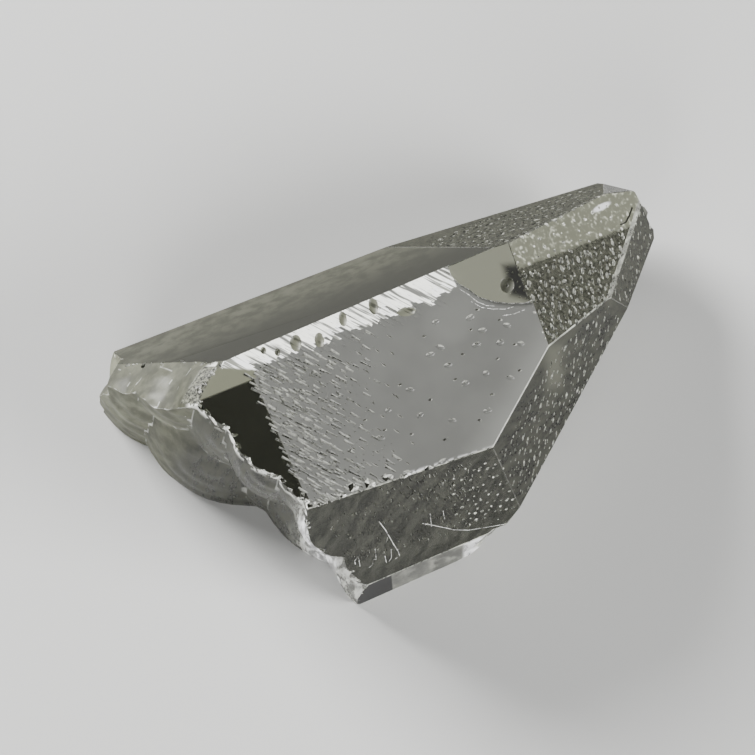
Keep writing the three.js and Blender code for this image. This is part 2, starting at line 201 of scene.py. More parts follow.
# The finish of each kind of surface: how milky it is at least and at most, how light it is at least and at
# most, how warm its tint is, how far its pattern is drawn out into the ladder's lines or into the root's
# strands, and how strongly it mirrors, where 0.5 is polished quartz. A row may leave out the last three
USUAL_ENDING = (0, 0, 0.5)
FINISHES = {
    "plain": (0.0, 0.05, 0.80, 0.90, 0.5),
    "front": (0.05, 0.05, 0.28, 0.28, 0.8),
    "upper": (0.60, 0.60, 0.040, 0.040, 1.0, 0, 0, 0.05),
    "lower": (0.08, 0.18, 0.10, 0.27, 0.8, 0, 0.6, 0.4),
    "side_strip": (0.45, 0.65, 0.04, 0.36, 0.5, 0, 0.6, 0.5),
    "under_lower": (0.0, 0.08, 0.70, 0.80, 0.5),
    "resting": (0.0, 0.08, 0.80, 0.90, 0.5),
    "under_upper": (0.0, 0.10, 0.80, 0.90, 0.5),
    "point": (0.30, 0.40, 0.12, 0.30, 0.8, 0, 0, 0.4),
    "lower_point": (0.40, 0.55, 0.02, 0.09, 1.0, 0, 0.6, 0.12),
    "shoulder": (0.65, 0.80, 0.02, 0.10, 1.0, 0, 0, 0.05),
    "small_point": (0.45, 0.60, 0.02, 0.10, 1.0, 0, 0, 0.12),
    "tip_side": (0.20, 0.40, 0.03, 0.15, 1.0),
    "tip_edge": (0.20, 0.40, 0.04, 0.20, 1.0),
    "under_lower_point": (0.0, 0.10, 0.80, 0.90, 0.5),
    "under_point": (0.0, 0.10, 0.80, 0.90, 0.5),
    # edge and bright_edge are the worn strips along the edges, lighter than most faces: worn quartz and a
    # painted highlight
    "edge": (0.02, 0.35, 0.25, 0.50, 0.5),
    "bright_edge": (0.35, 0.80, 0.25, 0.70, 0.5, 0, 0.6, 0.5),
    "layer": (0.60, 0.60, 0.24, 0.24, 0.9),
    # hollow is painted darker than layer: painted shade in the hollow
    "hollow": (0.60, 0.60, 0.17, 0.17, 0.9),
    "step": (0.20, 0.70, 0.40, 0.85, 0.1),
    "broken": (0.40, 0.54, 0.045, 0.10, 1.3, 0, 1, 0.2),
    "crushed": (0.30, 0.85, 0.45, 0.90, 0.3),
    # ladder_shade, tick_shade and etched_shade are painted shade: darker copies of ladder, tick and etched
    # for the walls of scratches, steps and pits that face away from the light, whose other walls are painted
    # light
    "ladder": (0.80, 0.90, 0.20, 0.97, 0.3, 1, 0, 0.5),
    "ladder_shade": (0.80, 0.90, 0.24, 0.45, 0.6, 1, 0, 0.5),
    "oval": (0.55, 0.65, 0.11, 0.22, 1.0, 1, 0, 0.5),
    # line is the white of the scratches on the lower face, and a painted highlight along the growth layer's
    # ledges
    "line": (0.30, 0.90, 0.55, 0.90, 0.1),
    "tick": (0.35, 0.65, 0.17, 0.62, 0.4, 0.5, 0, 0.5),
    "tick_shade": (0.45, 0.55, 0.07, 0.12, 0.8),
    "etched": (0.45, 0.88, 0.16, 0.97, 0.4),
    "etched_shade": (0.40, 0.55, 0.02, 0.07, 1.0),
    "crack": (0.50, 0.70, 0.03, 0.08, 3.0),
}
SURFACES = list(FINISHES)
ROUNDED = ("broken", "etched", "etched_shade", "oval", "hollow")  # the kinds that are shaded smooth
SMOOTH_KINDS = ("layer", "hollow", "upper")  # those that the fine relief leaves out
# Bends of the broken surface sharper than this get a painted highlight
GLINT_ANGLE = 16  # how far the broken surface bends, in degrees, where a crease glints

# Cloudy patterns: grains a millimetre, detail, roughness, stretch, spin, seed, and the two values that
# become 0 and 1
PATTERNS = {
    "fine": (3.2, 2, 0.65, (1, 1, 1), 0, 9.0, 0.3, 0.7),
    "dark_lines": (2.4, 2, 0.6, (0.05, 1, 1), SLANT, 0.0, 0.40, 0.50),
    "strands": (1.5, 3, 0.65, (1, 0.2, 0.2), -66, 5.0, 0.38, 0.64),
    "cloud": (0.16, 2, 0.55, (1, 1, 1), 0, 3.0, 0.3, 0.7),
    "soft": (0.5, 4, 0.6, (1, 1, 1), 0, 7.0, 0.35, 0.65),
    "blobs": (2.0, 1, 0.5, (1, 1, 1), 0, 2.0, 0.50, 0.78),
    "glints": (0.45, 2, 0.55, (1, 1, 1), 0, 11.0, 0.42, 0.6),
    "crumbs": (1.5, 2, 0.55, (1, 1, 1), 0, 6.0, 0.47, 0.52),
    "flakes": (1.2, 2, 0.6, (1, 0.35, 1), -35, 12.0, 0.47, 0.54),
}

# What lies over the faces' own finish, each on top of the one before: the pattern that mixes its two ends,
# how milky it is at either end, and its grey and its warmth at either end
LAYERS = {
    "upper_clouds": ("soft", 0.6, 0.6, (0.07, 1.2), (0.13, 1.2)),
    "side_dark": ("fine", 0.85, 0.85, (0.015, 0), (0.015, 0)),
    "side_light": ("strands", 0.4, 0.9, (0.75, 0), (0.75, 0)),
    "smooth_patch": ("fine", 0.6, 0.6, (0.13, 1), (0.13, 1)),
    "root_cream": ("soft", 0.6, 0.6, (0.09, 1.4), (0.17, 1.4)),
    "corner": ("strands", 0.2, 0.75, (0.2, 1), (0.75, 0.3)),
    "corner_fan": ("strands", 0.6, 0.9, (0.4, 0), (0.9, 0)),
    # painted highlight along the sharp bends of the broken surface
    "painted_crease_glints": ("fine", 0.5, 0.5, (0.5, 0.3), (0.5, 0.3)),
    "veil": ("veil_light", 0.6, 0.6, (0.19, 0.3), (0.31, 0.3)),
    "crushed_edge": ("fine", 0.85, 0.85, (0.9, 0), (0.9, 0)),
    "crushed_ledge": ("fine", 0.85, 0.85, (0.8, 0.3), (0.8, 0.3)),
    "cream_band": ("fine", 0.5, 0.5, (0.29, 1.2), (0.29, 1.2)),
    "speckled_strip": ("fine", 0.7, 0.7, (0.01, 0), (0.30, 1)),
    "layer_spots": ("fine", 0.6, 0.6, (0.03, 0.5), (0.03, 0.5)),
    "point_cream": ("blobs", 0.55, 0.8, (0.30, 1.1), (0.62, 0.8)),
    "tip_streak": ("fine", 0.8, 0.8, (0.85, 0), (0.85, 0)),
    "ladder": ("dark_lines", 0.9, 0.9, (0.26, 0.6), (0.95, 0.1)),
}

# Where some of them lie, in millimetres. A line has two ends and its softness. A patch has its middle, half
# its width and depth, its softness and sometimes its spin. A stretch has the places where it fades in
UPPER_CLOUDS_Y = (10.0, 17.5)
SIDE_DARK_X = (-10.8, -11.0)
SIDE_LIGHT_X = (-2.2, -1.6)
VEIL_LIGHT_WAY = (0.62, -0.78, 0.0)
VEIL_LIGHT_STRETCH = (9.0, 13.8)
VEIL_LIGHT_PATCH = (6.0, 3.2, 3.0, 2.4, 0.95)
VEIL_PATCH_SHARE, CLOUD_SHARE = 0.4, 0.2
ROOT_CREAM_LINE = ((-34, 3.0), (-22, 4.2), 2.0)
ROOT_CREAM_PATCH = (-31, 9, 6, 5, 0.5)
CORNER_LINE = ((-10, -9.5), (-26, -9.5), 1.5)
CORNER_FAN = (-18.2, -13.6, 2.8, 2.2, 0.8, -50)
CRUSHED_LINE = ((5.2, -12.3), (-17.0, -10.5), 0.3)
CRUSHED_END = ((-6.4, -9.0), (-6.0, -13.0), 0.4)
CRUSHED_HEIGHT = (-1.5, -0.6)  # above the front face
TIP_STREAK = (28.5, 11.0, 1.3, 0.35, 0.6, 15)
# where the painted highlight along the broken surface's bends fades in
PAINTED_GLINT_SHARE = (0.75, 0.95)
STRIPS = ((0.31, 0.6), (1.1, 0.6))  # strips that end the ladder unevenly: their width, and by how much

# Heights of the fine relief in millimetres
GRAIN_HEIGHT, STRAND_HEIGHT, LINE_HEIGHT = 0.006, 0.012, 0.06
ROUGHNESS = (0.02, 0.9, 0.03, 0.6)  # the clearest and the milkiest finish, and how rough they are

# Softboxes: name, azimuth, elevation, width and power
LIGHTS = [
    ("back_softbox", 115, 28, 0.4, 14),
    ("right_softbox", -42, 24, 0.4, 9),
    ("left_softbox", 225, 24, 0.5, 5),
]
LIGHT_DISTANCE = 0.8
SKY, SKY_STRENGTH = (0.9, 0.95, 1.0, 1), 0.08

# Picking and shaping

def clear_selection():
    if bpy.context.object and bpy.context.object.mode != "OBJECT":
        bpy.ops.object.mode_set(mode="OBJECT")
    bpy.ops.object.select_all(action="DESELECT")


def pick(piece):
    clear_selection()
    piece.select_set(True)
    bpy.context.view_layer.objects.active = piece


def edit_all(*steps):
    """Takes steps in edit mode, each on the whole of the active mesh."""
    bpy.ops.object.mode_set(mode="EDIT")
    for step in steps:
        bpy.ops.mesh.select_all(action="SELECT")
        step()
    bpy.ops.object.mode_set(mode="OBJECT")


def merge_doubles(distance):
    edit_all(lambda: bpy.ops.mesh.remove_doubles(threshold=distance * MM))


def turn_outwards():
    edit_all(lambda: bpy.ops.mesh.normals_make_consistent(inside=False))


def direction(azimuth, elevation):
    a = math.radians(azimuth)
    e = math.radians(elevation)
    return Vector((math.cos(e) * math.cos(a), math.cos(e) * math.sin(a), math.sin(e)))


class FlatFace:
    """One flat face of the crystal, found on its solid: outward normal and distance from the origin."""

    def __init__(self, mesh, azimuth, elevation):
        wanted = direction(azimuth, elevation)
        near = [p for p in mesh.polygons if p.normal.dot(wanted) > math.cos(math.radians(FACE_TILT))]
        total = sum(p.area for p in near)
        self.normal = sum((p.normal * p.area for p in near), Vector()).normalized()
        self.distance = sum(p.center.dot(self.normal) * p.area for p in near) / total

    def at(self, x, y):
        """The point of the face over a place x, y given in millimetres."""
        x, y = x * MM, y * MM
        return Vector((x, y, (self.distance - self.normal.x * x - self.normal.y * y) / self.normal.z))

    def holds(self, polygon):
        off = polygon.center.dot(self.normal) - self.distance
        return polygon.normal.dot(self.normal) > 0.9998 and abs(off) < FACE_BAND * MM

    def placing(self, x, y, spin=0, size=(1, 1, 1), lift=0):
        """Puts a shape made round the origin on the face, its +Z outwards and its +X spun from level."""
        level = Vector((1, 0, 0))
        level = (level - self.normal * level.dot(self.normal)).normalized()
        across = self.normal.cross(level)
        turn = Matrix((level, across, self.normal)).transposed().to_4x4()
        spot = self.at(x, y) + self.normal * lift * MM
        spun = Matrix.Translation(spot) @ turn @ Matrix.Rotation(math.radians(spin), 4, "Z")
        return spun @ Matrix.Diagonal((*size, 1))


def inside(outline, x, y):
    found = False
    for (x1, y1), (x2, y2) in zip(outline, outline[1:] + outline[:1]):
        if (y1 > y) != (y2 > y) and x < (x2 - x1) * (y - y1) / (y2 - y1) + x1:
            found = not found
    return found


def strewn(outline, count, gap, run, slant=0, narrow=1):
    """Places inside an outline, each clear of the others by the gap along the slant, or by less across it."""
    tries = 25 * count
    c, d = math.cos(math.radians(slant)), math.sin(math.radians(slant))
    xs = [x for x, _ in outline]
    ys = [y for _, y in outline]
    places, cells = [], {}
    for _ in range(tries):
        if len(places) == count:
            break
        x = run.uniform(min(xs), max(xs))
        y = run.uniform(min(ys), max(ys))
        if not inside(outline, x, y):
            continue
        u, v = (c * x + d * y) / gap, (c * y - d * x) / (gap * narrow)
        i, j = math.floor(u), math.floor(v)
        near = [q for m in (i - 1, i, i + 1) for n in (j - 1, j, j + 1) for q in cells.get((m, n), [])]
        if all(max(abs(u - a), abs(v - b)) > 1 for a, b in near):
            places.append((x, y))
            cells.setdefault((i, j), []).append((u, v))
    return places


# Materials

class Finish:
    """A material in the making: short calls for its nodes, read from Object coordinates in metres."""

    def __init__(self, name, colour=(0.9, 0.9, 0.9, 1), absorbs=True):
        self.material = bpy.data.materials.new(name)
        self.material.use_nodes = True
        self.nodes = self.material.node_tree.nodes
        self.links = self.material.node_tree.links
        self.shader = self.nodes["Principled BSDF"]
        self.shader.inputs["Base Color"].default_value = colour
        self.shader.inputs["IOR"].default_value = REFRACTION
        self.place = self.nodes.new("ShaderNodeTexCoord").outputs["Object"]
        if absorbs:
            body = self.node("VolumeAbsorption", {"Color": ABSORPTION, "Density": ABSORPTION_DENSITY})
            self.links.new(body[0], self.nodes["Material Output"].inputs["Volume"])

    def feed(self, socket, value):
        if isinstance(value, (int, float, tuple)):
            socket.default_value = value
        else:
            self.links.new(value, socket)

    def node(self, kind, inputs=(), **settings):
        """The outputs of a new node, its inputs fed by number or name."""
        node = self.nodes.new("ShaderNode" + kind)
        for name, value in settings.items():
            setattr(node, name, value)
        for socket, value in dict(inputs).items():
            self.feed(node.inputs[socket], value)
        return node.outputs

    def sum(self, kind, a, b=0.0, c=0.0):
        return self.node("Math", enumerate((a, b, c)), operation=kind)[0]

    def least(self, *values):
        return functools.reduce(lambda a, b: self.sum("MINIMUM", a, b), values)

    def most(self, *values):
        return functools.reduce(lambda a, b: self.sum("MAXIMUM", a, b), values)

    def without(self, a, b):
        return self.sum("MULTIPLY", a, self.sum("SUBTRACT", 1.0, b))

    def ramp(self, value, low, high, to_low=0.0, to_high=1.0):
        numbers = enumerate((value, low, high, to_low, to_high))
        return self.node("MapRange", numbers, interpolation_type="SMOOTHSTEP")[0]

    def fade(self, distance, start, end):
        """0 at a start and 1 at an end that are given in millimetres."""
        return self.ramp(distance, start * MM, end * MM)

    def along(self, way, offset=0.0):
        """Distance in metres along a direction."""
        reached = self.node("VectorMath", {0: self.place, 1: way}, operation="DOT_PRODUCT")
        return self.sum("SUBTRACT", reached["Value"], offset)

    def side(self, a, b, soft=0.15, shifted=None):
        """1 on the left of the line from a to b, seen from above, and 0 on its right."""
        run = Vector((b[0] - a[0], b[1] - a[1])).normalized()
        left = (-run.y, run.x, 0.0)
        away = self.along(left, (left[0] * a[0] + left[1] * a[1]) * MM)
        if shifted is not None:
            away = self.sum("ADD", away, shifted)
        return self.ramp(away, -soft * MM, soft * MM)

    def within(self, outline, soft=0.15):
        """1 inside a convex outline that runs anticlockwise, seen from above."""
        return self.least(*[self.side(a, b, soft) for a, b in zip(outline, outline[1:] + outline[:1])])

    def round_patch(self, x, y, wide, deep, soft=0.3, spin=0):
        """1 inside an oval, in millimetres, fading over a share of its size."""
        a = math.radians(spin)
        u = self.along((math.cos(a), math.sin(a), 0.0), (math.cos(a) * x + math.sin(a) * y) * MM)
        v = self.along((-math.sin(a), math.cos(a), 0.0), (-math.sin(a) * x + math.cos(a) * y) * MM)
        u = self.sum("POWER", self.sum("DIVIDE", u, wide * MM), 2.0)
        v = self.sum("POWER", self.sum("DIVIDE", v, deep * MM), 2.0)
        return self.ramp(self.sum("ADD", u, v), 1.0 + soft, 1.0 - soft)

    def random_strips(self, across, wide):
        """A number from -1 to 1 for each strip of a width in millimetres across a direction."""
        strip = self.sum("MULTIPLY", self.sum("SNAP", across, wide * MM), 977.0)
        number = self.node("TexWhiteNoise", {"W": strip}, noise_dimensions="1D")[0]
        return self.sum("MULTIPLY_ADD", number, 2.0, -1.0)

    def noise(self, per_mm, detail=3.0, rough=0.55, stretch=(1, 1, 1), spin=0, seed=0.0):
        """A cloudy pattern with so many grains a millimetre, stretched and spun about +Z."""
        angle = -math.radians(spin)
        turned = self.node("VectorRotate", {"Vector": self.place, "Angle": angle}, rotation_type="Z_AXIS")[0]
        scale = tuple(1000 * per_mm * s for s in stretch)
        placed = self.node("Mapping", {"Vector": turned, "Scale": scale, "Location": (seed, seed, seed)})[0]
        grain = {"Vector": placed, "Scale": 1.0, "Detail": detail, "Roughness": rough}
        return self.node("TexNoise", grain)[0]

    def attribute(self, name):
        return self.node("Attribute", attribute_name=name)

    def parts(self, colour):
        return self.node("SeparateColor", {0: colour})

    def dimmed(self, colour, tone):
        """A colour times a tone."""
        return self.node("VectorMath", {0: colour, "Scale": tone}, operation="SCALE")["Vector"]

    def is_surface(self, surface, name):
        return self.sum("COMPARE", surface, float(SURFACES.index(name)), 0.4)

    def blend(self, share, a, b):
        """Number a where the share is 0, b where it is 1."""
        return a if a == b else self.node("Mix", {0: share, 2: a, 3: b}, data_type="FLOAT")[0]

    def tint(self, share, a, b):
        """Colour a where the share is 0, b where it is 1."""
        return a if a == b else self.node("Mix", {0: share, 6: a, 7: b}, data_type="RGBA")[2]

    def relief(self, height):
        """Bumps whose height is given in millimetres."""
        return self.node("Bump", {"Strength": 1.0, "Distance": MM, "Height": height})[0]

    def set(self, values):
        for socket, value in values.items():
            self.feed(self.shader.inputs[socket], value)
        return self.material


def grey(tone, warmth=0.0):
    """A nearly neutral colour, the more olive the higher its warmth."""
    return (tone * (1 - RED_LOSS * warmth), tone, tone * (1 - BLUE_LOSS * warmth), 1)


def ladder_place(f, front):
    """Where the ladder is white: down to a line that strips of uneven length make stepped."""
    slant = math.radians(SLANT)
    across = f.along((-math.sin(slant), math.cos(slant), 0.0))
    (narrow, less), (wide, more) = STRIPS
    uneven = f.sum("MULTIPLY", f.random_strips(across, wide), more * MM)
    uneven = f.sum("MULTIPLY_ADD", f.random_strips(across, narrow), less * MM, uneven)
    (x1, y1, x2, y2), (x3, y3, x4, y4) = LADDER_SIDES
    return f.least(front, f.side(*LADDER_END, 0.04, uneven), f.side((x1, y1), (x2, y2), 0.2),
                   f.side((x4, y4), (x3, y3), 0.1))


def layer_places(f, kind, shown, front_face):
    """Where each of the layers over the faces' own finish lies."""
    front, layer, point, lower_point, upper, side_strip, broken = [
        f.is_surface(kind, name)
        for name in ("front", "layer", "point", "lower_point", "upper", "side_strip", "broken")]
    x_place = f.along((1.0, 0.0, 0.0))
    y_place = f.along((0.0, 1.0, 0.0))
    above_front = f.along(tuple(front_face.normal), front_face.distance)
    # painted highlight along the sharp bends of the broken surface
    crease = f.ramp(f.attribute("ridge")["Fac"], *PAINTED_GLINT_SHARE)
    return {
        "upper_clouds": f.least(upper, f.fade(y_place, *UPPER_CLOUDS_Y)),
        "side_dark": f.least(side_strip, f.fade(x_place, *SIDE_DARK_X)),
        "side_light": f.least(side_strip, f.fade(x_place, *SIDE_LIGHT_X)),
        "smooth_patch": f.least(lower_point, f.within(LOWER_POINT_SMOOTH, 0.8)),
        "root_cream": f.least(broken, f.most(f.side(*ROOT_CREAM_LINE), f.round_patch(*ROOT_CREAM_PATCH))),
        "corner": f.least(broken, f.side(*CORNER_LINE)),
        "corner_fan": f.least(broken, f.round_patch(*CORNER_FAN)),
        "painted_crease_glints": f.least(broken, crease, shown["glints"]),
        "veil": f.least(front, f.within(VEIL, 0.12)),
        "crushed_edge": f.least(front, f.side(*CRUSHED_LINE), f.side(*CRUSHED_END), shown["crumbs"]),
        "crushed_ledge": f.least(broken, f.fade(above_front, *CRUSHED_HEIGHT), shown["flakes"]),
        "cream_band": f.least(front, f.within(CREAM_BAND, 0.15)),
        "speckled_strip": f.least(f.most(front, broken), f.within(SPECKLED_STRIP, 0.1)),
        "layer_spots": f.least(layer, f.within(LAYER_SPOTTED, 0.6)),
        "point_cream": f.least(point, f.side(*POINT_CREAM_LINE, 0.3)),
        "tip_streak": f.least(point, f.round_patch(*TIP_STREAK)),
        "ladder": ladder_place(f, front),
    }


def quartz_finish(front_face):
    """One clear material for the whole crystal. Its finish changes with the kind of surface of each face."""
    f = Finish("quartz")
    raw, shown = {}, {}
    for name, (*numbers, low, high) in PATTERNS.items():
        raw[name] = f.noise(*numbers)
        shown[name] = f.ramp(raw[name], low, high)
    # The veil is lighter towards its lower right edge and in a patch near the growth layer
    patch = f.sum("MULTIPLY", f.round_patch(*VEIL_LIGHT_PATCH), VEIL_PATCH_SHARE)
    light = f.most(f.fade(f.along(VEIL_LIGHT_WAY), *VEIL_LIGHT_STRETCH), patch)
    shown["veil_light"] = f.blend(CLOUD_SHARE, light, shown["cloud"])

    # What each face brings along from the table of finishes
    finish = f.attribute("finish")
    milk_low, milk_high, tone_low = f.parts(finish["Color"])
    drawn = f.attribute("pattern")
    warmth, drawn_lines, drawn_strands = f.parts(drawn["Color"])
    own = f.blend(drawn_lines, shown["fine"], shown["dark_lines"])
    own = f.blend(drawn_strands, own, shown["strands"])
    milk = f.blend(own, milk_low, milk_high)
    tone = f.blend(own, tone_low, finish["Alpha"])
    colour = f.dimmed(f.tint(warmth, (1, 1, 1, 1), WARM), tone)

    kind = f.attribute("surface")["Fac"]
    places = layer_places(f, kind, shown, front_face)
    for name, (mixed_by, milk_1, milk_2, grey_1, grey_2) in LAYERS.items():
        mix = shown[mixed_by]
        milk = f.blend(places[name], milk, f.blend(mix, milk_1, milk_2))
        colour = f.tint(places[name], colour, f.tint(mix, grey(*grey_1), grey(*grey_2)))

    smooth = f.most(*[f.is_surface(kind, name) for name in SMOOTH_KINDS])
    height = f.sum("MULTIPLY", raw["fine"], f.sum("MULTIPLY", f.without(milk_high, smooth), GRAIN_HEIGHT))
    for share, pattern, most in ((drawn_strands, shown["strands"], STRAND_HEIGHT),
                                 (drawn_lines, raw["dark_lines"], LINE_HEIGHT)):
        height = f.sum("ADD", height, f.sum("MULTIPLY", f.sum("MULTIPLY", share, pattern), most))
    return f.set({"Base Color": colour, "Roughness": f.ramp(milk, *ROUGHNESS), "Normal": f.relief(height),
                  "Transmission Weight": f.sum("SUBTRACT", 1.0, milk), "Specular IOR Level": drawn["Alpha"]})


def floor_finish():
    f = Finish("pale_floor", FLOOR_GREY, absorbs=False)
    return f.set({"Roughness": f.ramp(f.noise(0.02), 0.3, 0.7, 0.55, 0.65)})


# Cutting shapes, each made once round the origin in metres

def marked(name):
    """A stand-in material that tells, after all the cutting, which kind of surface a face is."""
    return bpy.data.materials.get("mark_" + name) or bpy.data.materials.new("mark_" + name)


def shape(name, make, *marks):
    clear_selection()
    make()
    cutter = bpy.context.object
    mesh = cutter.data.copy()
    mesh.name = name
    for mark in marks:
        mesh.materials.append(marked(mark))
    bpy.data.objects.remove(cutter)
    return mesh


def mark_sides(mesh, middle=0.01):
    """Gives the sides that face -Y the mesh's second mark, and where it has a third, the middle that. So one
    side of a pit is painted light and the other painted shade.
    """
    for polygon in mesh.polygons:
        y = polygon.center.y / MM
        third = len(mesh.materials) > 2
        polygon.material_index = 1 if y < -middle else (2 if third and y < middle else 0)
    return mesh


def ball(mark, shade_mark=None, fine=False, middle_mark=None):
    """A ball 1 mm across. The half at -Y may have a mark of its own, and so may the middle, which paints one
    half of a pit light and the other in shade.
    """
    segments, rings = (20, 10) if fine else (8, 6)
    marks = [mark, shade_mark or mark] + ([middle_mark] if middle_mark else [])
    return mark_sides(shape("ball", lambda: bpy.ops.mesh.primitive_uv_sphere_add(
        segments=segments, ring_count=rings, radius=0.5 * MM), *marks), 0.3 if middle_mark else 0.01)


def blade(mark, shade_mark=None):
    """A pit with four flat sides, 1 mm long and wide and 0.5 mm deep, steep at -Y. Its sides at -Y may take a
    second mark, painted shade.
    """
    def make():
        bpy.ops.mesh.primitive_cone_add(vertices=4, radius1=0.5 * MM, radius2=0, depth=1 * MM,
                                        rotation=(math.pi, 0, 0))
        bpy.ops.object.transform_apply(rotation=True)
        for corner in bpy.context.object.data.vertices:
            if corner.co.z < 0:
                corner.co.y = -0.22 * MM
    return mark_sides(shape("blade", make, mark, shade_mark or mark))


def wedge(mark, shade_mark):
    """A step 1 mm long and wide and 0.5 mm deep, steep at -Y, its floor rising to nothing at +Y. Its riser
    and ends take the second mark, painted shade.
    """
    def make():
        bpy.ops.mesh.primitive_cube_add(size=1 * MM)
        for corner in bpy.context.object.data.vertices:
            if corner.co.z < 0 and corner.co.y > 0:
                corner.co.z = 0.02 * MM
            if corner.co.x > 0:
                corner.co.y *= 0.55
    mesh = shape("wedge", make, mark, shade_mark)
    for polygon in mesh.polygons:
        polygon.material_index = 1 if polygon.normal.y < -0.8 or abs(polygon.normal.x) > 0.8 else 0
    return mesh


def shingle(mark):
    """A bar 1 mm long and wide that is deepest along one long side."""
    def make():
        bpy.ops.mesh.primitive_cube_add(size=1 * MM)
        for corner in bpy.context.object.data.vertices:
            if corner.co.z < 0 and corner.co.y > 0:
                corner.co.z = -0.1 * MM
    return shape("shingle", make, mark)


def splinter(seed, *marks):
    """An uneven flat-sided lump about 1 mm across. Its sides take the marks in an uneven mixture."""
    run = random.Random(seed)
    def make():
        bpy.ops.mesh.primitive_ico_sphere_add(subdivisions=1, radius=0.5 * MM)
        for corner in bpy.context.object.data.vertices:
            corner.co *= run.uniform(0.5, 1.1)
    mesh = shape("splinter", make, *marks)
    for polygon in mesh.polygons:
        polygon.material_index = run.randrange(len(marks))
    return mesh


def joined(name, placed):
    """One cutting object from many placed copies of shapes."""
    clear_selection()
    parts = []
    for mesh, placing in placed:
        copy = mesh.copy()
        copy.transform(placing)
        part = bpy.data.objects.new(name, copy)
        bpy.context.scene.collection.objects.link(part)
        part.select_set(True)
        parts.append(part)
    bpy.context.view_layer.objects.active = parts[0]
    bpy.ops.object.join()
    return bpy.context.object


def groove(face, path, wide, mark):
    """A shallow round-bottomed line on a face along a path of places x and y."""
    line = bpy.data.curves.new("groove", "CURVE")
    line.dimensions = "3D"
    line.bevel_depth = wide / 2 * MM
    line.bevel_resolution = 1
    line.use_fill_caps = True
    spline = line.splines.new("POLY")
    spline.points.add(len(path) - 1)
    for point, (x, y) in zip(spline.points, path):
        point.co = (*(face.at(x, y) + face.normal * 0.15 * wide * MM), 1)
    cutter = bpy.data.objects.new("groove", line)
    bpy.context.scene.collection.objects.link(cutter)
    pick(cutter)
    bpy.ops.object.convert(target="MESH")
    cutter = bpy.context.object
    cutter.data.materials.clear()
    cutter.data.materials.append(marked(mark))
    merge_doubles(0.001)
    turn_outwards()
    return cutter


def cut(body, cutter):
    pick(body)
    modifier = body.modifiers.new("cut", "BOOLEAN")
    modifier.operation = "DIFFERENCE"
    modifier.solver = "MANIFOLD"
    modifier.material_mode = "TRANSFER"
    modifier.object = cutter
    bpy.ops.object.modifier_apply(modifier=modifier.name)
    bpy.data.objects.remove(cutter)


def crystal_body():
    """A copy of the solid crystal, its loose triangles merged."""
    body = bpy.data.objects.new("clear_crystal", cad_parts["quartz_crystal"].data.copy())
    bpy.context.scene.collection.objects.link(body)
    pick(body)
    merge_doubles(0.002)
    body.data.materials.clear()
    return body


# Building

def wear_and_highlight_edges(body, faces):
    """Takes a narrow strip off every edge between two flat faces and paints it lighter, partly worn quartz
    and partly a painted highlight.
    """
    block = 120 * MM
    corners = [v.co.copy() for v in body.data.vertices]
    names = list(faces)
    for i, first in enumerate(names):
        for second in names[i + 1:]:
            a, b = faces[first], faces[second]
            out = (a.normal + b.normal).normalized()
            reach = max(corner.dot(out) for corner in corners)
            ends = [c for c in corners if c.dot(out) > reach - 0.01 * MM]
            shared = all(abs(c.dot(f.normal) - f.distance) < FACE_BAND * MM for c in ends for f in (a, b))
            long = max((c - d).length for c in ends for d in ends)
            if a.normal.dot(b.normal) < -0.2 or not shared or long < 1 * MM:
                continue
            bright = BRIGHT_EDGES.get((first, second), BRIGHT_EDGES.get((second, first)))
            wide = bright or EDGE_WIDTH
            depth = wide / 2 * MM * math.tan(a.normal.angle(b.normal) / 2)
            clear_selection()
            bpy.ops.mesh.primitive_cube_add(size=block)
            cutter = bpy.context.object
            cutter.data.materials.append(marked("bright_edge" if bright else "edge"))
            turn = out.to_track_quat("Z", "Y").to_matrix().to_4x4()
            cutter.data.transform(Matrix.Translation(out * (reach - depth + block / 2)) @ turn)
            cut(body, cutter)


def ladder_shingles(face, run):
    """White shingles that run from the ridge down the front face, side by side and uneven in length."""
    bar = shingle("ladder")
    c, d = math.cos(math.radians(SLANT)), math.sin(math.radians(SLANT))
    placed = []
    (x, y0), (x1, y1) = LADDER_RIDGE
    rise = (y1 - y0) / (x1 - x)
    start = x
    while x < x1:
        width = run.choice((0.25, 0.4, 0.6, 0.9, 1.2))
        length = 3.9 + 0.6 * math.sin(0.9 * x) + run.uniform(-0.8, 0.8)
        away = length / 2 - 0.9
        x += width / abs(d) / 2
        spot = (x + c * away, y0 + rise * (x - start) + d * away)
        size = (length, width * 0.98, run.uniform(0.1, 0.24))
        placed.append((bar, face.placing(*spot, SLANT, size)))
        x += width / abs(d) / 2
    return placed


def ladder_scratches(face, run):
    """Fine grooves down the shingles, one side of each painted in shade."""
    scratch = blade("ladder", "ladder_shade")
    outline = [(-19.0, 8.4), (8.0, 9.3), (8.6, 6.9), (-17.0, 6.6)]
    return [(scratch, face.placing(x, y, SLANT, (run.uniform(1.2, 2.2), 0.13, 0.3)))
            for x, y in strewn(outline, 80, 2.3, run, SLANT, 0.1)]


def rain_ticks(face, run, outline, count):
    """A field of short etched steps on the front face, their steep walls painted in shade."""
    tick = wedge("tick", "tick_shade")
    placed = []
    for x, y in strewn(outline, count, 1.5, run, SLANT, 0.32):
        size = (run.uniform(0.7, 1.45), run.uniform(0.26, 0.4), run.uniform(0.25, 0.5))
        placed.append((tick, face.placing(x, y, SLANT + run.uniform(-3, 3), size)))
    return placed


def small_ticks(face, run, outline, count):
    """Small sharp ticks between the larger steps, one side of each painted in shade."""
    tick = blade("tick", "tick_shade")
    placed = []
    for x, y in strewn(outline, count, 0.8, run, SLANT, 0.42):
        spin = SLANT + run.uniform(-9, 9)
        size = (run.uniform(0.3, 0.7), run.uniform(0.15, 0.26), 0.3)
        placed.append((tick, face.placing(x, y, spin, size)))
    return placed


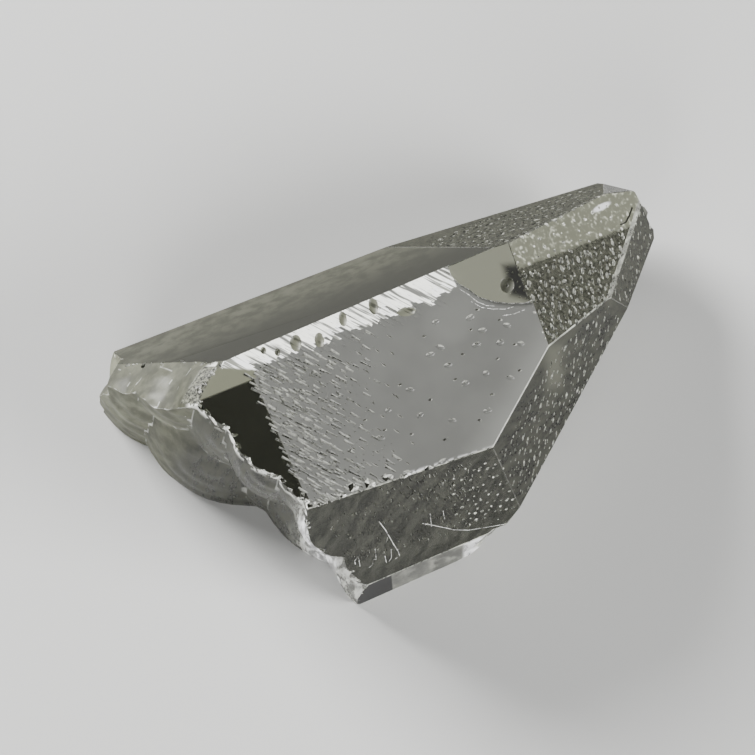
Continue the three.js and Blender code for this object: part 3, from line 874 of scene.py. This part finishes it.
def crescents(face, run):
    """Single shallow pits with one rim painted light and the other painted in shade."""
    pit = ball("tick", "tick_shade", True, "front")
    lean = Matrix.Rotation(math.radians(-20), 4, "X")
    placed = []
    for x, y in CRESCENTS:
        size = (run.uniform(0.8, 1.2), run.uniform(0.5, 0.7), 0.26)
        placed.append((pit, face.placing(x, y, run.uniform(-40, 20), size) @ lean))
    return placed


def edge_chips(front, run, chips):
    """White chips out of the front face's lower edge, some of their sides painted in shade at random as
    glinting facets.
    """
    lumps = [splinter(seed, "crushed", "crushed", "tick", "etched_shade") for seed in range(10, 15)]
    placed = []
    for x, y, long in chips:
        size = (1.2 * long, 0.9 * long, 0.7)
        placed.append((run.choice(lumps), front.placing(x, y, run.uniform(-40, 0), size)))
    return placed


def dimples(faces, run, name, outline, count, gap, size, deep, slant, narrow, shade="etched_shade"):
    """Round or drawn-out dimples strewn over part of a face, one half of each painted light and the other
    painted in shade unless given another kind.
    """
    face = faces[name]
    pit = ball(shade, "etched")
    placed = []
    for x, y in strewn(outline, count, gap, run, slant, narrow):
        long = run.uniform(*size)
        wide = long * narrow * run.uniform(0.75, 1.0)
        placed.append((pit, face.placing(x, y, slant + run.uniform(-20, 20), (long, wide, deep), 0.05)))
    return placed


def strokes(face, outline, count, gap, run, slant, narrow=0.16):
    """Fine straight strokes strewn over part of a face, one side of each painted in shade."""
    stroke = blade("tick", "tick_shade")
    placed = []
    for x, y in strewn(outline, count, gap, run, slant, narrow):
        spin = slant + run.uniform(-6, 6)
        size = (run.uniform(0.5, 0.95) * gap, 0.2, 0.35)
        placed.append((stroke, face.placing(x, y, spin, size)))
    return placed


def ovals(face):
    pit = ball("oval", fine=True)
    return [(pit, face.placing(x, y, spin, (long, wide, 0.75), 0.09)) for x, y, long, wide, spin in OVALS]


def layer_hollow(face):
    """The soft round hollow on the growth layer, painted darker than the layer round it as painted shade."""
    x, y, long, wide, spin = LAYER_HOLLOW
    return [(ball("hollow", fine=True), face.placing(x, y, spin, (long, wide, 0.6), 0.08))]


def broken_block(name, at, facing, across, up, ground, lobes, cell=0.5, ripple=0.07):
    """A block whose underside is a broken quartz surface: rounded lobes, each with ripples round the place
    where its break began. It lies with at on its reference plane, facing an outward azimuth and elevation."""
    (u0, u1), (v0, v1) = across, up
    clear_selection()
    columns, rows = round((u1 - u0) / cell), round((v1 - v0) / cell)
    bpy.ops.mesh.primitive_grid_add(x_subdivisions=columns, y_subdivisions=rows, size=1)
    block = bpy.context.object
    block.name = name
    for corner in block.data.vertices:
        u = u0 + (corner.co.x + 0.5) * (u1 - u0)
        v = v0 + (corner.co.y + 0.5) * (v1 - v0)
        height = ground
        for lobe_u, lobe_v, wide, tall, rise in lobes:
            fall = ((u - lobe_u) / wide) ** 2 + ((v - lobe_v) / tall) ** 2
            away = math.hypot(u - lobe_u - 0.7 * wide, v - lobe_v - 0.6 * tall)
            wave = ripple * math.sin(2 * math.pi * away / (0.55 * wide))
            wave += 0.3 * ripple * math.sin(2 * math.pi * away / 0.8) * max(0, 1 - fall)
            height = max(height, rise - 1.5 * fall + wave)
        rough = noise.fractal(Vector((u, v, lobes[0][0])) * 0.35, 0.8, 2.2, 4)
        corner.co = Vector((u, v, height - 0.06 + 0.05 * rough)) * MM
    thickness = {"value": (0, 0, 30 * MM)}
    edit_all(lambda: bpy.ops.mesh.extrude_region_move(TRANSFORM_OT_translate=thickness))
    turn_outwards()
    out = direction(*facing)
    level = direction(facing[0] + 90, 0)
    turn = Matrix((level, out.cross(level), out)).transposed().to_4x4()
    block.data.transform(Matrix.Translation(Vector(at) * MM) @ turn)
    return block


def root_rims(body, faces, names, gap):
    """Places along the edges between some flat faces and the broken root, a gap apart."""
    sides = {}
    for polygon in body.data.polygons:
        held = any(faces[name].holds(polygon) for name in names)
        mark = body.data.materials[polygon.material_index].name
        for key in polygon.edge_keys:
            sides.setdefault(key, set()).add("flat" if held else mark)
    corners = body.data.vertices
    places = []
    for (a, b), kinds in sides.items():
        if kinds != {"flat", "mark_broken"}:
            continue
        middle = (corners[a].co + corners[b].co) / 2
        short = (corners[a].co - corners[b].co).length < LONGEST_RIM_EDGE * MM
        if short and all((middle - p).length > gap * MM for p in places):
            places.append(middle)
    return places


def rim_splinters(places, run, largest):
    """Small flat-sided chips at uneven places along the root's edge. Their sides are crushed white, clear,
    and painted light and shade at random, as painted glints.
    """
    marks = ("crushed", "crushed", "bright_edge", "broken", "etched_shade")
    lumps = [splinter(seed, *marks) for seed in range(8)]
    placed = []
    for place in places:
        spot = place + Vector([run.uniform(-0.15, 0.15) * largest for _ in range(3)]) * MM
        size = Vector((run.uniform(0.7, 1.0), run.uniform(0.25, 0.6), run.uniform(0.2, 0.5))) * largest
        turn = Matrix.Rotation(run.uniform(-1.6, -0.4), 4, "Z")
        turn = turn @ Matrix.Rotation(run.uniform(-0.8, 0.8), 4, "X")
        placed.append((run.choice(lumps), Matrix.Translation(spot) @ turn @ Matrix.Diagonal((*size, 1))))
    return placed


def drop_crumbs(body):
    """Keeps the crystal itself and removes the loose crumbs that crossing cuts have left."""
    pick(body)
    edit_all(lambda: bpy.ops.mesh.separate(type="LOOSE"))
    pieces = sorted(bpy.context.selected_objects, key=lambda piece: len(piece.data.vertices))
    for crumb in pieces[:-1]:
        bpy.data.objects.remove(crumb)
    pieces[-1].name = "clear_crystal"
    return pieces[-1]


def kind_of(polygon, faces):
    """The kind of surface of a face that no cut made."""
    for name, face in faces.items():
        if face.holds(polygon):
            high = polygon.center.dot(face.normal) - face.distance > LAYER_RISE * MM
            return "layer" if name == "front" and high else name
    x, y, z = polygon.center / MM
    for name in ("front", "point", "lower"):
        face = faces[name]
        off = (polygon.center.dot(face.normal) - face.distance) / MM
        lean = polygon.normal.dot(face.normal)
        if name == "front" and -0.1 < off < 0.3 and abs(lean) < 0.3 and x > STEP_FROM_X:
            return "step"
        if -PIT_DEPTH < off < PIT_RISE and lean > -0.3:
            if name != "front":
                # pit walls that tilt up are painted light and the others painted shade
                return "etched" if polygon.normal.z > face.normal.z else "etched_shade"
            if x < SMOOTH_LEFT_OF and y > SMOOTH_ABOVE:
                return "front"
            # tick walls facing +Y are painted light and the others painted shade
            return "tick" if polygon.normal.y > 0 else "tick_shade"
    at_ends = x < ROOT_UP_TO_X or x > TIP_FROM_X or y < CORNER_UP_TO_Y
    return "broken" if at_ends and z > 0.1 else "plain"


def mark_painted_glints(body, kinds):
    """Marks the corners along the sharp bends of the broken surface, where a painted highlight goes."""
    bends = {}
    for polygon, kind in zip(body.data.polygons, kinds):
        if kind == "broken":
            for key in polygon.edge_keys:
                bends.setdefault(key, []).append(polygon.normal)
    ridge = [0.0] * len(body.data.vertices)
    for (a, b), normals in bends.items():
        if len(normals) == 2 and normals[0].angle(normals[1]) > math.radians(GLINT_ANGLE):
            ridge[a] = ridge[b] = 1.0
    # the ridge attribute is where the painted highlight goes
    body.data.attributes.new("ridge", "FLOAT", "POINT").data.foreach_set("value", ridge)


def mark_surfaces(body, faces, names):
    """Gives every face of the mesh its kind of surface and that kind's finish, and the mesh its material."""
    kinds = [names[p.material_index] for p in body.data.polygons]
    kinds = [kind_of(p, faces) if kind == "plain" else kind for p, kind in zip(body.data.polygons, kinds)]
    numbers, finishes, patterns = [], [], []
    for kind in kinds:
        *ends, warmth = FINISHES[kind][:5]
        numbers.append(float(SURFACES.index(kind)))
        finishes += ends
        patterns += [warmth, *(FINISHES[kind][5:] or USUAL_ENDING)]
    mark_painted_glints(body, kinds)
    attributes = body.data.attributes
    attributes.new("surface", "FLOAT", "FACE").data.foreach_set("value", numbers)
    attributes.new("finish", "FLOAT_COLOR", "FACE").data.foreach_set("color", finishes)
    attributes.new("pattern", "FLOAT_COLOR", "FACE").data.foreach_set("color", patterns)
    body.data.polygons.foreach_set("material_index", [0] * len(kinds))
    body.data.materials.clear()
    body.data.materials.append(quartz_finish(faces["front"]))


def make_crystal():
    run = random.Random(12)
    body = crystal_body()
    faces = {name: FlatFace(body.data, *angles) for name, angles in FACES.items()}
    body.data.materials.append(marked("plain"))
    wear_and_highlight_edges(body, faces)
    for name, block in BREAKS.items():
        cutter = broken_block(name, *block)
        cutter.data.materials.append(marked("broken"))
        cut(body, cutter)
    front, point, lower = faces["front"], faces["point"], faces["lower"]
    cuts = [
        ladder_shingles(front, run),
        ladder_scratches(front, run),
        *[rain_ticks(front, run, *field) for field in RAIN],
        *[small_ticks(front, run, RAIN[field][0], count) for field, count in SMALL_TICKS],
        crescents(front, run),
        ovals(front),
        edge_chips(front, run, EDGE_CHIPS[::2]),
        edge_chips(front, run, EDGE_CHIPS[1::2]),
        layer_hollow(front),
        *[dimples(faces, run, *row) for row in DIMPLES],
        strokes(lower, LOWER_STROKES, 150, 1.6, run, 80),
        dimples(faces, run, *LOWER_DASHES),
    ]
    rims = [rim_splinters(root_rims(body, faces, names, RIM_GAP * largest), run, largest)
            for names, largest in RIM_CHIPS]
    for placed in rims + cuts:
        cut(body, joined("cuts", placed))
    lines = [(lower, path) for path in LOWER_LINES] + [(front, path) for path in LAYER_LINES]
    for face, path in lines:
        cut(body, groove(face, path, 0.1, "line"))
    cut(body, groove(point, POINT_CRACK, 0.25, "crack"))
    body = drop_crumbs(body)
    names = [m.name.removeprefix("mark_") for m in body.data.materials]
    mark_surfaces(body, faces, names)
    for marker in [m for m in bpy.data.materials if m.name.startswith("mark_")]:
        bpy.data.materials.remove(marker)
    pick(body)
    bpy.ops.object.shade_smooth_by_angle(angle=math.radians(GLINT_ANGLE))
    smooth = [SURFACES[round(kind.value)] in ROUNDED for kind in body.data.attributes["surface"].data]
    body.data.polygons.foreach_set("use_smooth", smooth)
    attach(body, "root")
    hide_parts("quartz_crystal")
    return body


def make_floor():
    clear_selection()
    bpy.ops.mesh.primitive_plane_add(size=6, location=(0, 0, -0.02 * MM))
    floor = bpy.context.object
    floor.name = "floor"
    floor.data.materials.append(floor_finish())


def make_light(name, azimuth, elevation, size, power):
    lamp = bpy.data.lights.new(name, "AREA")
    lamp.shape = "DISK"
    lamp.size = size
    lamp.energy = power
    holder = bpy.data.objects.new(name, lamp)
    place = direction(azimuth, elevation)
    holder.location = place * LIGHT_DISTANCE + Vector((0, 0, 0.01))
    holder.rotation_euler = place.to_track_quat("Z", "Y").to_euler()
    holder.visible_camera = False
    bpy.context.scene.collection.objects.link(holder)


def make_camera():
    back = direction(CAMERA_AZIMUTH, CAMERA_ELEVATION)
    level = direction(CAMERA_AZIMUTH + 90, 0)
    roll = Matrix.Rotation(math.radians(CAMERA_ROLL), 3, back)
    right = roll @ level
    up = back.cross(right)
    lens = bpy.data.cameras.new("camera")
    lens.sensor_width = 36
    lens.lens = 36 * CAMERA_DISTANCE / SEEN_WIDTH
    lens.shift_x = -AIM_OFF_CENTRE[0]
    lens.shift_y = -AIM_OFF_CENTRE[1]
    lens.clip_start = 0.01
    camera = bpy.data.objects.new("camera", lens)
    turn = Matrix((right, up, back)).transposed().to_4x4()
    camera.matrix_world = Matrix.Translation(AIM + back * CAMERA_DISTANCE) @ turn
    bpy.context.scene.collection.objects.link(camera)
    bpy.context.scene.camera = camera


def make_world():
    world = bpy.data.worlds.new("studio")
    world.use_nodes = True
    sky = world.node_tree.nodes["Background"]
    sky.inputs["Color"].default_value = SKY
    sky.inputs["Strength"].default_value = SKY_STRENGTH
    bpy.context.scene.world = world


bpy.context.scene.view_settings.look = "AgX - Medium High Contrast"
make_camera()
make_floor()
make_world()
for light in LIGHTS:
    make_light(*light)
make_crystal()
